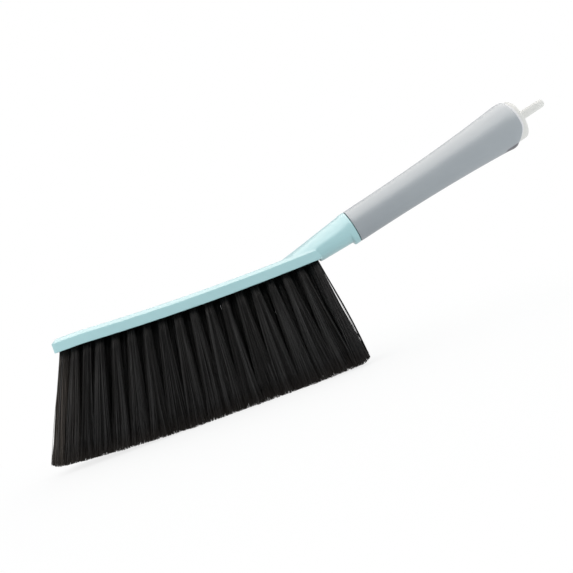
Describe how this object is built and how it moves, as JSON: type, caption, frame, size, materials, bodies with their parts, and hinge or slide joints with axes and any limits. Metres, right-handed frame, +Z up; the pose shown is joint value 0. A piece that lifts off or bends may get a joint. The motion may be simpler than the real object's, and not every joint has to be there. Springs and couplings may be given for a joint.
{
  "type": "counter duster",
  "caption": "Long counter duster: arched plastic block with fanned dark bristle tufts, a rising flared grip and a hanging loop at its end.",
  "frame": {"origin": "on the plane of the trimmed bristle tips, below the middle of the brush's whole length and width", "axes": "+X along the block towards the handle and its loop, +Y across the block, +Z up from the bristle tips to the block"},
  "size_m": [0.3784, 0.0352, 0.1282],
  "materials": {
    "aqua_plastic": "satin injection-moulded polypropylene, pale aqua",
    "grey_plastic": "smooth satin grip plastic, cool mid grey",
    "white_plastic": "smooth moulded plastic, warm off-white",
    "black_bristle": "soft black synthetic bristle, slightly brown at the trimmed tips"
  },
  "bodies": {
    "root": {"brush_block": "aqua_plastic", "handle_sleeve": "grey_plastic", "end_cap": "white_plastic", "tuft_front_01": "black_bristle", "tuft_front_02": "black_bristle", "tuft_front_03": "black_bristle", "tuft_front_04": "black_bristle", "tuft_front_05": "black_bristle", "tuft_front_06": "black_bristle", "tuft_front_07": "black_bristle", "tuft_front_08": "black_bristle", "tuft_front_09": "black_bristle", "tuft_front_10": "black_bristle", "tuft_front_11": "black_bristle", "tuft_front_12": "black_bristle", "tuft_front_13": "black_bristle", "tuft_front_14": "black_bristle", "tuft_front_15": "black_bristle", "tuft_front_16": "black_bristle", "tuft_front_17": "black_bristle", "tuft_front_18": "black_bristle", "tuft_middle_01": "black_bristle", "tuft_middle_02": "black_bristle", "tuft_middle_03": "black_bristle", "tuft_middle_04": "black_bristle", "tuft_middle_05": "black_bristle", "tuft_middle_06": "black_bristle", "tuft_middle_07": "black_bristle", "tuft_middle_08": "black_bristle", "tuft_middle_09": "black_bristle", "tuft_middle_10": "black_bristle", "tuft_middle_11": "black_bristle", "tuft_middle_12": "black_bristle", "tuft_middle_13": "black_bristle", "tuft_middle_14": "black_bristle", "tuft_middle_15": "black_bristle", "tuft_middle_16": "black_bristle", "tuft_middle_17": "black_bristle", "tuft_rear_01": "black_bristle", "tuft_rear_02": "black_bristle", "tuft_rear_03": "black_bristle", "tuft_rear_04": "black_bristle", "tuft_rear_05": "black_bristle", "tuft_rear_06": "black_bristle", "tuft_rear_07": "black_bristle", "tuft_rear_08": "black_bristle", "tuft_rear_09": "black_bristle", "tuft_rear_10": "black_bristle", "tuft_rear_11": "black_bristle", "tuft_rear_12": "black_bristle", "tuft_rear_13": "black_bristle", "tuft_rear_14": "black_bristle", "tuft_rear_15": "black_bristle", "tuft_rear_16": "black_bristle", "tuft_rear_17": "black_bristle", "tuft_rear_18": "black_bristle"}
  },
  "joints": []
}
